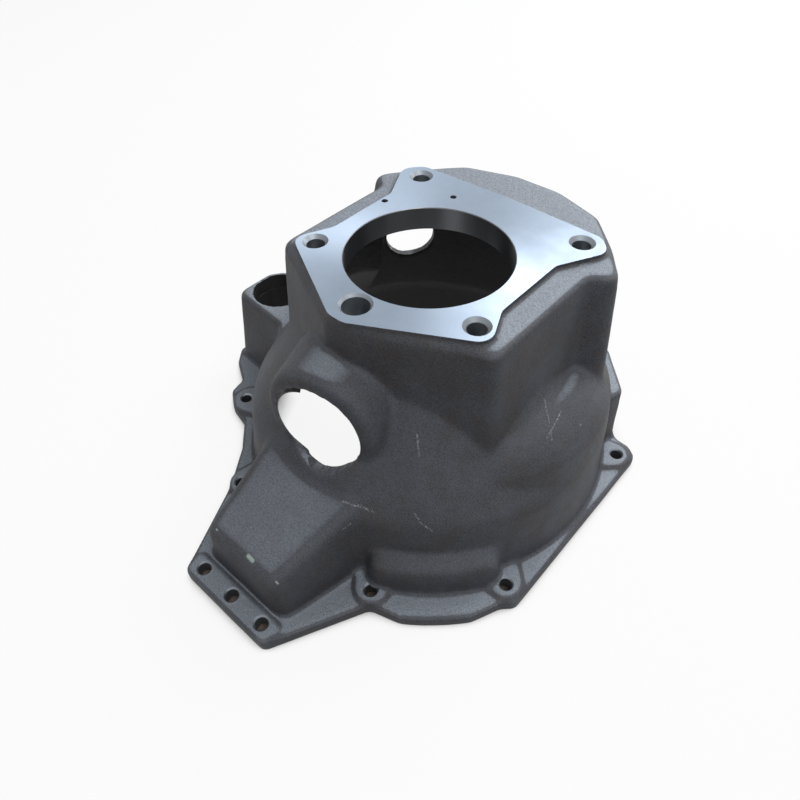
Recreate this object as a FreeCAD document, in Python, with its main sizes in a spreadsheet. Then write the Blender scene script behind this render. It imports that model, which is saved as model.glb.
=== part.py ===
import FreeCAD, Part
import math
import os
import Sketcher
from FreeCAD import Placement, Rotation, Vector

# Bellhousing of a manual gearbox: one aluminium sand casting with machined faces.
# Frame: origin on the crankshaft axis at the engine face, +Z towards the gearbox,
# +Y up in the vehicle, +X to the right seen from the gearbox. Millimetres.

SIZES = {
    # Heights above the engine face.
    "housing_depth": 180.0,
    "cast_top": 176.0,
    "plate_thick": 17.5,
    "flange_thick": 9.0,
    "ear_height": 12.0,
    "pad_height": 11.0,
    # Wall of the casting and its corner radii.
    "wall": 7.5,
    "corner_radius": 9.0,
    "rim_radius": 4.0,
    "step_radius": 5.0,
    "edge_radius": 2.0,
    # Bell: a steep wall up to a crease, then a cone under the gearbox end.
    "bell_foot_radius": 146.5,
    "crease_radius": 138.0,
    "crease_height": 59.0,
    "cone_top_radius": 83.0,
    "cone_top_height": 136.0,
    "crease_blend": 12.0,
    # Gearbox end of the casting: its outline at the top, and how far it grows
    # down to the flange.
    "keel_half_width": 9.0,
    "keel_drop": 88.5,
    "side_half_width": 92.0,
    "side_low": 49.0,
    "side_high": 50.0,
    "shoulder_width": 109.0,
    "shoulder_rise": 61.5,
    "slant_width": 86.0,
    "slant_rise": 92.0,
    "brow_width": 60.0,
    "brow_rise": 119.0,
    "crown_width": 20.0,
    "crown_rise": 132.0,
    "foot_growth": 13.0,
    # Swelling of the bell below the right shoulder.
    "swelling_x": 29.2,
    "swelling_y": 13.0,
    "swelling_radius": 110.5,
    "swelling_waist": 106.5,
    "swelling_head": 92.0,
    "swelling_foot": 30.0,
    "swelling_height": 106.0,
    # Machined gearbox face and its bore.
    "bore_radius": 57.15,
    "face_keel_width": 6.0,
    "face_keel_drop": 87.5,
    "face_lug_width": 84.0,
    "face_lug_drop": 45.5,
    "face_waist": 67.5,
    "face_waist_low": 9.0,
    "face_waist_high": 36.0,
    "face_ear_width": 90.0,
    "face_ear_rise": 76.0,
    "face_top_width": 78.0,
    "face_top_rise": 89.0,
    "face_crown_rise": 92.0,
    "face_corner": 10.0,
    # Gearbox bolts, drain hole and two small dowel holes.
    "upper_bolt_x": 70.5,
    "upper_bolt_y": 75.5,
    "lower_bolt_x": 68.5,
    "lower_bolt_y": 38.4,
    "bolt_hole": 12.8,
    "bolt_sink": 18.0,
    "drain_y": 69.7,
    "drain_hole": 18.4,
    "drain_sink": 22.0,
    "dowel_hole": 4.8,
    "dowel_depth": 12.0,
    "dowel_circle": 74.0,
    "dowel_angle_low": 115.8,
    "dowel_angle_high": 155.7,
    # Engine flange.
    "flange_side": 150.5,
    "flange_crown": 157.0,
    "flange_lobe": 174.5,
    "ear_radius": 12.2,
    "ear_root": 132.0,
    "ear_hole": 9.0,
    "ear_sink": 11.5,
    # Sump tunnel and its three-hole pad.
    "pad_half_width": 42.0,
    "pad_end": 218.0,
    "pad_root": 200.5,
    "pad_hole_y": 208.2,
    "pad_pitch": 31.0,
    "pad_hole": 9.5,
    "tunnel_front": 197.0,
    "tunnel_front_height": 46.0,
    "tunnel_front_width": 40.5,
    "tunnel_back": 105.0,
    "tunnel_back_height": 77.0,
    "tunnel_back_width": 60.0,
    "tunnel_draft": 6.0,
    "tunnel_radius": 11.0,
    # Release-fork opening.
    "fork_x": 3.3,
    "fork_y": 115.0,
    "fork_z": 106.8,
    "fork_turn": 12.0,
    "fork_hole_radius": 31.2,
    "fork_rim_radius": 42.6,
    "fork_rim_depth": 45.0,
    "fork_rim_roll": 9.0,
    # Starter nose pocket.
    "starter_x": 157.8,
    "starter_y": 12.3,
    "starter_hole_radius": 22.0,
    "starter_height": 80.0,
    "starter_hole_depth": 15.5,
    "starter_side": 184.5,
    "starter_growth": 7.5,
    "starter_radius": 8.0,
    # Ledges beside the two side bolts above the starter.
    "ledge_height": 62.0,
    # Round lobe at the lower right of the bell.
    "lobe_radius": 154.0,
    "lobe_height": 34.0,
    "lobe_start": -66.0,
    "lobe_sweep": 36.0,
    "lobe_roll": 10.0,
    "lobe_end_wall": 3.4,
    # Round window in the upper left wall.
    "window_radius": 19.7,
    "window_height": 116.0,
    "window_angle": 137.0,
    "window_reach": 160.0,
}

# Ear bolts of the engine flange: x, y and how much larger than the rest its boss is.
EARS = (
    (70.0, -143.0, 0.0),
    (137.5, -78.5, 0.0),
    (138.5, 73.0, 0.0),
    (72.0, 142.0, 0.0),
    (-72.0, 142.0, 0.0),
    (-138.5, 73.0, 0.0),
    (-138.0, -82.0, 2.3),
    (-70.0, -143.0, 0.0),
)

document = FreeCAD.newDocument("Bellhousing")
sheet = document.addObject("Spreadsheet::Sheet", "Sizes")
for row, (alias, number) in enumerate(SIZES.items(), start=1):
    sheet.set("A%d" % row, alias)
    sheet.set("B%d" % row, str(number))
    sheet.setAlias("B%d" % row, alias)
document.recompute()


class Dim:
    """A size that knows its number and the formula that gives it."""

    def __init__(self, number, formula):
        self.number = float(number)
        self.formula = formula

    def __add__(self, other):
        other = dim(other)
        return Dim(self.number + other.number, "(%s + %s)" % (self.formula, other.formula))

    def __sub__(self, other):
        other = dim(other)
        return Dim(self.number - other.number, "(%s - %s)" % (self.formula, other.formula))

    def __mul__(self, factor):
        return Dim(self.number * factor, "(%s * %.6f)" % (self.formula, factor))

    def __neg__(self):
        return Dim(-self.number, "(0 - %s)" % self.formula)


def dim(value):
    """A number or size as a size."""
    if isinstance(value, Dim):
        return value
    return Dim(value, "%.6f" % value)


def size(alias):
    """The named size of the sheet."""
    return Dim(SIZES[alias], "Sizes." + alias)


def bind(item, prop, value):
    """Drive one property of an object by a size."""
    item.setExpression(prop, dim(value).formula)


def polar(radius, angle):
    """Point at a distance and an angle from the crankshaft axis."""
    turn = math.radians(angle.number)
    parts = []
    for word, share in (("cos", math.cos(turn)), ("sin", math.sin(turn))):
        formula = "(%s * %s(%s))" % (radius.formula, word, angle.formula)
        parts.append(Dim(radius.number * share, formula))
    return tuple(parts)


def inset(points, depths, wall):
    """Points of a counter-clockwise outline moved in by depths[i] walls on side i."""
    count = len(points)
    normals = []
    for index in range(count):
        here = points[index]
        there = points[(index + 1) % count]
        step_x = dim(there[0]).number - dim(here[0]).number
        step_y = dim(there[1]).number - dim(here[1]).number
        length = math.hypot(step_x, step_y)
        normals.append((step_y / length, -step_x / length))
    moved = []
    for index in range(count):
        before = normals[index - 1]
        after = normals[index]
        turn = before[0] * after[1] - before[1] * after[0]
        low = -depths[index - 1]
        high = -depths[index]
        shift_x = (low * after[1] - high * before[1]) / turn
        shift_y = (before[0] * high - after[0] * low) / turn
        moved.append((dim(points[index][0]) + wall * shift_x, dim(points[index][1]) + wall * shift_y))
    return moved


def body_named(label):
    """An empty body at the origin of the housing."""
    body = document.addObject("PartDesign::Body", label)
    body.Label = label
    body.Placement = Placement(Vector(0, 0, 0), Rotation())
    return body


def sketch_on(body, name, role, shift=(0, 0, 0), turn=0):
    """Sketch on a base plane of the body, shifted in its axes and turned about its y."""
    sketch = body.newObject("Sketcher::SketchObject", name)
    for plane in body.Origin.OriginFeatures:
        if plane.Role == role:
            sketch.AttachmentSupport = [(plane, "")]
    sketch.MapMode = "FlatFace"
    parts = [dim(value) for value in shift]
    base = Vector(*[part.number for part in parts])
    sketch.AttachmentOffset = Placement(base, Rotation(Vector(0, 1, 0), dim(turn).number))
    for axis, part in zip("xyz", parts):
        bind(sketch, "AttachmentOffset.Base." + axis, part)
    if isinstance(turn, Dim):
        bind(sketch, "AttachmentOffset.Rotation.Angle", turn)
    return sketch


def pin(sketch, geometry, end, point):
    """Hold one end of a line or a centre by its two distances from the axes."""
    for kind, value in zip(("DistanceX", "DistanceY"), point):
        value = dim(value)
        held = Sketcher.Constraint(kind, -1, 1, geometry, end, value.number)
        index = sketch.addConstraint(held)
        if "Sizes" in value.formula:
            bind(sketch, "Constraints[%d]" % index, value)


def rounded(points, radii):
    """Points of a closed straight-sided outline with arcs at its corners."""
    count = len(points)
    result = []
    for index in range(count):
        corner = points[index]
        here = Vector(dim(corner[0]).number, dim(corner[1]).number, 0)
        before = points[index - 1]
        after = points[(index + 1) % count]
        first = (here - Vector(dim(before[0]).number, dim(before[1]).number, 0)).normalize()
        second = (Vector(dim(after[0]).number, dim(after[1]).number, 0) - here).normalize()
        turn = math.atan2(first.x * second.y - first.y * second.x, first.dot(second))
        radius = dim(radii[index])
        if radius.number == 0.0:
            result.append(corner)
            continue
        reach = math.tan(abs(turn) * 0.5)
        start_x = dim(corner[0]) + radius * (-first.x * reach)
        start_y = dim(corner[1]) + radius * (-first.y * reach)
        stop_x = dim(corner[0]) + radius * (second.x * reach)
        stop_y = dim(corner[1]) + radius * (second.y * reach)
        if turn < 0:
            radius = -radius
        result.append((start_x, start_y, radius))
        result.append((stop_x, stop_y))
    return result


def outline(sketch, points):
    """Closed outline; a third number in a point bows the side after it out or in."""
    count = len(points)
    ends = [Vector(dim(point[0]).number, dim(point[1]).number, 0) for point in points]
    for index in range(count):
        start = ends[index]
        stop = ends[(index + 1) % count]
        if len(points[index]) == 3:
            radius = dim(points[index][2]).number
            middle = (start + stop) * 0.5
            half = (stop - start).Length * 0.5
            way = Vector(stop.y - start.y, start.x - stop.x, 0).normalize()
            bow = abs(radius) - math.sqrt(radius * radius - half * half)
            if radius < 0:
                bow = -bow
            sketch.addGeometry(Part.Arc(start, middle + way * bow, stop), False)
        else:
            sketch.addGeometry(Part.LineSegment(start, stop), False)
    # Arcs run anticlockwise, so one that bows inwards starts at its second end.
    first = []
    for point in points:
        hollow = len(point) == 3 and dim(point[2]).number < 0
        first.append(2 if hollow else 1)
    for index in range(count):
        following = (index + 1) % count
        last = 3 - first[index]
        meet = Sketcher.Constraint("Coincident", index, last, following, first[following])
        sketch.addConstraint(meet)
    for index in range(count):
        pin(sketch, index, first[index], points[index])
        if len(points[index]) == 3:
            radius = dim(points[index][2])
            if radius.number < 0:
                radius = -radius
            held = sketch.addConstraint(Sketcher.Constraint("Radius", index, radius.number))
            if "Sizes" in radius.formula:
                bind(sketch, "Constraints[%d]" % held, radius)


def circle(sketch, point, radius):
    """Circle held by its centre and radius."""
    radius = dim(radius)
    centre = Vector(dim(point[0]).number, dim(point[1]).number, 0)
    index = sketch.addGeometry(Part.Circle(centre, Vector(0, 0, 1), radius.number), False)
    pin(sketch, index, 3, point)
    held = sketch.addConstraint(Sketcher.Constraint("Radius", index, radius.number))
    if "Sizes" in radius.formula:
        bind(sketch, "Constraints[%d]" % held, radius)


def pad(body, name, sketch, length, back=False):
    """Sketch raised by a length."""
    feature = body.newObject("PartDesign::Pad", name)
    feature.Profile = sketch
    feature.Length = dim(length).number
    bind(feature, "Length", length)
    feature.Reversed = back
    document.recompute()
    return feature


def loft(body, name, sketches):
    """Straight-sided solid through outlines with the same number of sides."""
    feature = body.newObject("PartDesign::AdditiveLoft", name)
    feature.Profile = sketches[-1]
    feature.Sections = sketches[-2::-1]
    feature.Ruled = True
    document.recompute()
    return feature


def spin(body, name, sketch, angle=360.0):
    """Sketch turned about the crankshaft axis."""
    feature = body.newObject("PartDesign::Revolution", name)
    feature.Profile = sketch
    feature.ReferenceAxis = (sketch, ["V_Axis"])
    feature.Angle = dim(angle).number
    if isinstance(angle, Dim):
        bind(feature, "Angle", angle)
    document.recompute()
    return feature


def round_off(body, name, radius, choose):
    """Round the edges of the last feature that are chosen by their end points."""
    feature = body.Tip
    names = []
    for index, edge in enumerate(feature.Shape.Edges, start=1):
        ends = [vertex.Point for vertex in edge.Vertexes]
        if choose(edge, ends):
            names.append("Edge%d" % index)
    if not names:
        raise ValueError("no edge to round for " + name)
    fillet = body.newObject("PartDesign::Fillet", name)
    fillet.Base = (feature, names)
    fillet.Radius = dim(radius).number
    bind(fillet, "Radius", radius)
    document.recompute()
    return fillet


def upright(edge, ends):
    """Edges that climb the side of a form."""
    if len(ends) != 2:
        return False
    climb = ends[1] - ends[0]
    return abs(climb.z) > 0.5 * climb.Length


def at_height(height):
    """Choose edges that lie at one height."""
    level = dim(height).number

    def choose(edge, ends):
        return all(abs(end.z - level) < 0.01 for end in ends)

    return choose


wall = size("wall")
depth = size("housing_depth")
below = dim(-6.0)


# Outer form of the engine flange.
def flange_form():
    side = size("flange_side")
    crown = size("flange_crown")
    right = [
        (size("pad_half_width"), -size("pad_end")),
        (76.0, -151.0),
        (97.5, -144.5, size("flange_lobe")),
        (133.5, -112.0),
        (143.0, -91.0),
        (side, -84.0),
        (side, 84.0),
        (141.0, 90.5),
        (128.0, 91.5, crown),
        (99.0, 122.5),
        (88.0, 148.0),
        (64.0, 157.0),
        (54.0, 148.0, crown),
    ]
    left = [
        (-54.0, 148.0),
        (-64.0, 157.0),
        (-88.0, 148.0),
        (-99.0, 122.5, crown),
        (-128.0, 91.5),
        (-141.0, 90.5),
        (-side, 84.0),
        (-side, 47.0),
        (-161.0, 34.0),
        (-185.0, 23.0),
        (-196.0, 6.0),
        (-196.0, -42.0),
        (-184.0, -55.5),
        (-162.0, -68.0),
        (-159.0, -83.0),
        (-143.0, -94.0),
        (-122.0, -99.0),
        (-100.0, -119.0),
        (-76.0, -151.0),
        (-size("pad_half_width"), -size("pad_end")),
    ]
    body = body_named("flange_form")
    sketch = sketch_on(body, "flange_outline", "XY_Plane")
    outline(sketch, right + left)
    pad(body, "flange_plate", sketch, size("flange_thick"))
    round_off(body, "flange_corners", size("corner_radius") * 0.7, upright)
    top = size("flange_thick")
    round_off(body, "flange_edge", size("edge_radius"), at_height(top))
    return body


# Raised bosses round the ear bolts and the three-hole pad of the sump.
def boss_forms():
    bodies = []
    for index, (x, y, more) in enumerate(EARS, start=1):
        distance = math.hypot(x, y)
        out_x = x / distance
        out_y = y / distance
        body = body_named("ear_boss_%d" % index)
        sketch = sketch_on(body, "ear_outline_%d" % index, "XY_Plane")
        # A tongue with a round end that widens towards the bell.
        radius = size("ear_radius") + more
        half = radius + 7.0
        root = min(distance - size("ear_root").number, radius.number + 14.0)
        root_x = dim(x - out_x * root)
        root_y = dim(y - out_y * root)
        points = [
            (root_x - half * out_y, root_y + half * out_x),
            (root_x + half * out_y, root_y - half * out_x),
            (radius * out_y + x, radius * -out_x + y, radius * 1.03),
            (radius * -out_y + x, radius * out_x + y),
        ]
        outline(sketch, points)
        pad(body, "ear_pad_%d" % index, sketch, size("ear_height"))
        bodies.append(body)
    body = body_named("sump_pad")
    sketch = sketch_on(body, "sump_pad_outline", "XY_Plane")
    half = size("pad_half_width")
    front = -size("pad_end")
    back = -size("pad_root")
    outline(sketch, [(-half, front), (half, front), (half + 3.0, back), (-half - 3.0, back)])
    pad(body, "sump_pad_block", sketch, size("pad_height"))
    round_off(body, "sump_pad_corners", 5.0, upright)
    round_off(body, "sump_pad_edge", 1.2, at_height(size("pad_height")))
    bodies.append(body)
    return bodies


# Bell round the clutch, as the outer form and as the core inside it.
def bell_form(label, core):
    foot = size("bell_foot_radius")
    crease = size("crease_radius")
    height = size("crease_height")
    blend = size("crease_blend")
    points = [
        (0.0, 0.0),
        (foot, 0.0),
        (crease + blend * 0.05, height - blend * 0.35),
        (crease - blend * 0.20, height + blend * 0.28),
        (size("cone_top_radius"), size("cone_top_height")),
        (0.0, size("cone_top_height")),
    ]
    if core:
        points = inset(points, [0.0, 1.0, 1.0, 1.0, 1.0, 0.0], wall)
        points[0] = (0.0, below)
        points[1] = (points[1][0], below)
    body = body_named(label)
    sketch = sketch_on(body, label + "_profile", "XZ_Plane")
    outline(sketch, points)
    spin(body, label + "_turned", sketch)
    return body


# Share of the rounding radius that a section moves in and up on its way round a rim.
RIM = ((0.0, 1.0), (0.134, 0.5), (0.5, 0.134), (1.0, 0.0))


def crowned(body, label, foot, foot_height, top, top_height, corners, roll, cut_sides):
    """Drafted block between two outlines, its upper rim rounded in small steps."""
    sketch = sketch_on(body, label + "_foot", "XY_Plane", (0, 0, foot_height))
    outline(sketch, rounded(foot, corners))
    sketches = [sketch]
    steps = RIM if roll.number else RIM[-1:]
    for index, (inward, downward) in enumerate(steps, start=1):
        ring = inset(top, cut_sides, roll * inward)
        level = dim(top_height) - roll * downward
        sketch = sketch_on(body, "%s_rim_%d" % (label, index), "XY_Plane", (0, 0, level))
        outline(sketch, rounded(ring, corners))
        sketches.append(sketch)
    loft(body, label + "_block", sketches)


# Six-sided gearbox end that widens downwards into the bell.
def gearbox_end(label, core):
    top = [
        (size("keel_half_width"), -size("keel_drop")),
        (size("side_half_width"), -size("side_low")),
        (size("side_half_width"), size("side_high")),
        (size("shoulder_width"), size("shoulder_rise")),
        (size("slant_width"), size("slant_rise")),
        (size("brow_width"), size("brow_rise")),
        (size("crown_width"), size("crown_rise")),
    ]
    grow = size("foot_growth")
    steps = (
        (0.0, -1.0),
        (1.0, -0.62),
        (1.0, -1.69),
        (1.75, -1.2),
        (1.08, 0.31),
        (0.46, 0.15),
        (0.08, 0.42),
    )
    foot = [(x + grow * way[0], y + grow * way[1]) for (x, y), way in zip(top, steps)]
    rings = []
    for ring in (foot, top):
        ring = ring + [(-x, y) for x, y in reversed(ring)]
        if core:
            ring = inset(ring, [1.0] * len(ring), wall)
        rings.append(ring)
    height = size("cast_top")
    roll = size("rim_radius")
    corners = [size("corner_radius")] * 14
    for hollow in (2, 11):
        corners[hollow] = size("step_radius")
    if core:
        # Inside, the wall takes up the corner radii.
        height = depth - size("plate_thick")
        roll = dim(0.0)
        corners = [0.0] * 14
    body = body_named(label)
    crowned(body, label, rings[0], size("flange_thick"), rings[1], height, corners, roll, [1.0] * 14)
    return body


# Swelling of the bell that carries the step of the gearbox end.
def swelling(label, core):
    foot = size("swelling_radius")
    waist = size("swelling_waist")
    head = size("swelling_head")
    top = size("swelling_height")
    low = size("swelling_foot")
    points = [
        (0.0, low),
        (foot, low),
        (foot - 1.5, top - 44.0),
        (waist, top - 25.0),
        (waist - 6.5, top - 15.0),
        (head, top - 7.0),
        (head - 13.0, top),
        (0.0, top),
    ]
    if core:
        points = inset(points, [0.0] + [1.0] * 6 + [0.0], wall)
    body = body_named(label)
    place = (size("swelling_x"), 0.0, -size("swelling_y"))
    sketch = sketch_on(body, label + "_profile", "XZ_Plane", place)
    outline(sketch, points)
    spin(body, label + "_turned", sketch)
    return body


# Tunnel over the sump joint that runs out from the bell.
def tunnel(label, core):
    front = size("tunnel_front")
    back = size("tunnel_back")
    radius = size("tunnel_radius")
    low = dim(0.0)
    if core:
        front = front - wall
        radius = radius - wall * 0.5
        low = below
    lean = SIZES["tunnel_draft"] / SIZES["tunnel_front_height"]
    body = body_named(label)
    sketches = []
    for word, level in (("front", front), ("back", back)):
        width = size("tunnel_%s_width" % word)
        height = size("tunnel_%s_height" % word)
        top = width - height * lean
        points = [(-width, 0.0), (width, 0.0), (top, height), (-top, height)]
        if core:
            points = inset(points, [0.0, 1.0, 1.0, 1.0], wall)
        points[0] = (points[0][0], low)
        points[1] = (points[1][0], low)
        sketch = sketch_on(body, "%s_%s" % (label, word), "XZ_Plane", (0, 0, level))
        outline(sketch, points)
        sketches.append(sketch)
    loft(body, label + "_block", sketches)
    line = front.number

    def rim(edge, ends):
        if len(ends) != 2:
            return False
        high = all(end.z > 10.0 for end in ends)
        at_front = all(abs(end.y + line) < 0.01 for end in ends)
        at_back = all(abs(end.y + line) > 1.0 for end in ends)
        rising = abs(ends[0].z - ends[1].z) > 20.0
        return not at_back and (high or (at_front and rising))

    round_off(body, label + "_edges", radius, rim)
    return body


# Pocket that takes the nose of the starter motor.
def starter_pocket(label, core):
    side = size("starter_side")
    top = [
        (-side, -38.0),
        (-158.0, -40.5),
        (-124.0, -43.5),
        (-104.0, -66.0),
        (-60.0, -66.0),
        (-60.0, 28.0),
        (-118.0, 28.0),
        (-150.0, 17.0),
        (-176.0, 10.0),
        (-side, -2.0),
    ]
    sides = [1.0, 1.0, 1.0, 0.0, 0.0, 0.0, 1.0, 1.0, 1.0, 1.0]
    foot = inset(top, [-share for share in sides], size("starter_growth"))
    height = size("starter_height")
    roll = dim(4.0)
    low = dim(0.0)
    radius = size("starter_radius")
    corners = [radius, 4.0, 4.0, 0.0, 0.0, 0.0, 0.0, 4.0, radius, radius]
    if core:
        top = inset(top, sides, wall * 0.8)
        foot = inset(foot, sides, wall * 0.8)
        height = height - wall
        low = below
        roll = dim(0.0)
        corners = [0.0] * len(top)
    body = body_named(label)
    crowned(body, label, foot, low, top, height, corners, roll, sides)
    return body


# Flat-topped ledge that stiffens the wall beside an upper ear.
def ledge_form(label, side):
    foot = [(96.0, 60.0), (124.0, 75.5), (126.0, 92.0), (92.0, 130.0), (70.0, 120.0)]
    top = [(90.0, 60.0), (121.0, 76.0), (123.0, 90.5), (89.5, 127.5), (68.0, 116.0)]
    if side < 0:
        foot = [(-x, y) for x, y in reversed(foot)]
        top = [(-x, y) for x, y in reversed(top)]
    body = body_named(label)
    crowned(body, label, foot, 0.0, top, size("ledge_height"), [5.0] * 5, dim(3.0), [1.0] * 5)
    return body


# Round lobe low on the right of the bell, as the outer form and as its core.
def lobe(label, core):
    radius = size("lobe_radius")
    height = size("lobe_height")
    start = size("lobe_start")
    sweep = size("lobe_sweep")
    low = dim(0.0)
    inner = dim(118.0)
    roll = size("lobe_roll")
    if core:
        # The core stops short of the ends by the angle that a wall takes up.
        share = size("lobe_end_wall")
        start = start + share
        sweep = sweep - share * 2.0
        radius = radius - wall
        height = height - wall
        low = below
        roll = roll * 0.5
    body = body_named(label)
    sketch = sketch_on(body, label + "_profile", "XZ_Plane", turn=start)
    outline(sketch, [(inner, low), (radius + 2.0, low), (radius, height), (inner, height + 8.0)])
    spin(body, label + "_turned", sketch, sweep)
    reach = radius.number

    def rim(edge, ends):
        far = [math.hypot(end.x, end.y) > reach - 0.1 for end in ends]
        return len(ends) == 2 and any(far) and not all(abs(end.z - low.number) < 0.1 for end in ends)

    round_off(body, label + "_rim", roll, rim)
    return body


# Raised round rim of the release-fork opening.
def fork_rim(label):
    body = body_named(label)
    place = (size("fork_x"), size("fork_z"), size("fork_y"))
    sketch = sketch_on(body, label + "_circle", "XZ_Plane", place, size("fork_turn"))
    circle(sketch, (0.0, 0.0), size("fork_rim_radius"))
    feature = pad(body, label + "_drum", sketch, size("fork_rim_depth"), True)
    feature.TaperAngle = 8.0
    document.recompute()

    def outer(edge, ends):
        centre = edge.CenterOfMass
        near = Vector(size("fork_x").number, -size("fork_y").number, size("fork_z").number)
        return centre.distanceToPoint(near) < 1.0

    round_off(body, label + "_roll", size("fork_rim_roll"), outer)
    return body


# Hollow behind the rim of the fork opening.
def fork_core(label):
    body = body_named(label)
    place = (size("fork_x"), size("fork_z"), size("fork_y") - wall)
    sketch = sketch_on(body, label + "_circle", "XZ_Plane", place, size("fork_turn"))
    circle(sketch, (0.0, 0.0), size("fork_rim_radius") - wall * 0.7)
    pad(body, label + "_drum", sketch, size("fork_rim_depth"), True)
    return body


# Raised face that is machined for the gearbox.
def gearbox_face(label):
    right = [
        (size("face_keel_width"), -size("face_keel_drop")),
        (size("face_lug_width"), -size("face_lug_drop")),
        (size("face_waist"), -size("face_waist_low")),
        (size("face_waist") + 1.0, size("face_waist_high")),
        (size("face_ear_width"), size("face_ear_rise")),
        (size("face_top_width"), size("face_top_rise")),
        (dim(0.0), size("face_crown_rise")),
    ]
    ring = right + [(-x, y) for x, y in reversed(right[:-1])]
    corners = [size("face_corner")] * len(ring)
    corners[6] = 0.0
    body = body_named(label)
    foot = size("cast_top") - 8.0
    sketch = sketch_on(body, label + "_outline", "XY_Plane", (0, 0, foot))
    outline(sketch, rounded(ring, corners))
    pad(body, label + "_block", sketch, depth - foot)
    return body


flange = flange_form()
bosses = boss_forms()
forms = [flange] + bosses + [
    bell_form("bell_form", False),
    gearbox_end("gearbox_end_form", False),
    swelling("swelling_form", False),
    tunnel("sump_tunnel", False),
    starter_pocket("starter_pocket", False),
    ledge_form("right_ledge", 1),
    ledge_form("left_ledge", -1),
    lobe("lobe_form", False),
    fork_rim("fork_rim"),
    gearbox_face("gearbox_face"),
]
cores = [
    bell_form("bell_core", True),
    gearbox_end("gearbox_end_core", True),
    swelling("swelling_core", True),
    tunnel("tunnel_core", True),
    starter_pocket("starter_core", True),
    lobe("lobe_core", True),
    fork_core("fork_core"),
]


def joined(kind, name, shapes):
    """Solids of several bodies as one."""
    feature = document.addObject(kind, name)
    feature.Shapes = shapes
    feature.Refine = True
    document.recompute()
    return feature


outer_form = joined("Part::MultiFuse", "outer_form", forms)
inner_core = joined("Part::MultiFuse", "inner_core", cores)
casting = document.addObject("Part::Cut", "casting")
casting.Base = outer_form
casting.Tool = inner_core
casting.Refine = True
document.recompute()

# The casting is the raw part; everything below is machined into it.
housing = body_named("bellhousing")
housing.BaseFeature = casting
document.recompute()


def cut(name, sketch, length):
    """Sketch sunk into the housing by a length."""
    feature = housing.newObject("PartDesign::Pocket", name)
    feature.Profile = sketch
    feature.Length = dim(length).number
    bind(feature, "Length", length)
    document.recompute()
    return feature


def drill(name, places, height, diameter, length, sink):
    """Holes of one size with a countersunk mouth; no length means right through."""
    sketch = sketch_on(housing, name + "_places", "XY_Plane", (0, 0, height))
    for place in places:
        circle(sketch, place, dim(diameter) * 0.5)
    document.recompute()
    hole = housing.newObject("PartDesign::Hole", name)
    hole.Profile = sketch
    hole.Threaded = False
    hole.Diameter = dim(diameter).number
    bind(hole, "Diameter", diameter)
    hole.DrillPoint = 0
    if length is None:
        hole.DepthType = 1
    else:
        hole.DepthType = 0
        hole.Depth = dim(length).number
        bind(hole, "Depth", length)
    if sink is not None:
        hole.HoleCutType = "Countersink"
        hole.HoleCutCustomValues = True
        hole.HoleCutDiameter = dim(sink).number
        bind(hole, "HoleCutDiameter", sink)
        hole.HoleCutCountersinkAngle = 90.0
    document.recompute()
    return hole


# Bore for the bearing retainer, and the bolt and dowel holes of the gearbox face.
sketch = sketch_on(housing, "bore_circle", "XY_Plane", (0, 0, depth))
circle(sketch, (0.0, 0.0), size("bore_radius"))
cut("gearbox_bore", sketch, size("plate_thick") + 6.0)
bolts = []
for side in (1, -1):
    bolts.append((size("upper_bolt_x") * side, size("upper_bolt_y")))
    bolts.append((size("lower_bolt_x") * side, -size("lower_bolt_y")))
through = size("plate_thick") + 4.0
drill("gearbox_bolts", bolts, depth, size("bolt_hole"), through, size("bolt_sink"))
drill("drain", [(0.0, -size("drain_y"))], depth, size("drain_hole"), through, size("drain_sink"))
circle_radius = size("dowel_circle")
dowels = [polar(circle_radius, size("dowel_angle_" + word)) for word in ("low", "high")]
drill("dowels", dowels, depth, size("dowel_hole"), size("dowel_depth"), None)

# Holes of the engine flange and of the sump pad.
ears = [(x, y) for x, y, more in EARS]
drill("ear_holes", ears, size("ear_height"), size("ear_hole"), None, size("ear_sink"))
pitch = size("pad_pitch")
row = [(pitch * step, -size("pad_hole_y")) for step in (-1, 0, 1)]
drill("sump_holes", row, size("pad_height"), size("pad_hole"), None, size("ear_sink") + 0.5)

# Openings in the walls: release fork, starter nose and the window behind.
place = (size("fork_x"), size("fork_z"), size("fork_y") + 12.0)
sketch = sketch_on(housing, "fork_circle", "XZ_Plane", place, size("fork_turn"))
circle(sketch, (0.0, 0.0), size("fork_hole_radius"))
cut("fork_opening", sketch, size("fork_rim_depth") + 25.0)
sketch = sketch_on(housing, "starter_circle", "XY_Plane", (0, 0, size("starter_height")))
circle(sketch, (-size("starter_x"), -size("starter_y")), size("starter_hole_radius"))
cut("starter_hole", sketch, size("starter_hole_depth"))
angle = size("window_angle")
across, rise = polar(size("window_reach"), angle)
place = (across, size("window_height"), -rise)
sketch = sketch_on(housing, "window_circle", "XZ_Plane", place, angle + 90.0)
circle(sketch, (0.0, 0.0), size("window_radius"))
cut("window", sketch, size("window_reach") - 90.0)

# Every feature must be sound, and the housing one solid.
for item in document.Objects:
    for word in ("Invalid", "Error"):
        if word in item.State:
            raise RuntimeError(item.Name + " is not sound")
    shape = getattr(item, "Shape", None)
    if shape is not None and item.isDerivedFrom("PartDesign::Feature"):
        if shape.isNull() or not shape.isValid():
            raise RuntimeError(item.Name + " has no sound shape")
if len(housing.Shape.Solids) != 1:
    raise RuntimeError("the housing fell into pieces")
os.makedirs("parts", exist_ok=True)
housing.Shape.exportStep("parts/bellhousing.step")
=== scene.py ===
"""Looks of a sand-cast aluminium bellhousing, with its floor, light and camera."""

import math

import bmesh
import bpy
from mathutils import Matrix, Quaternion, Vector


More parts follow.
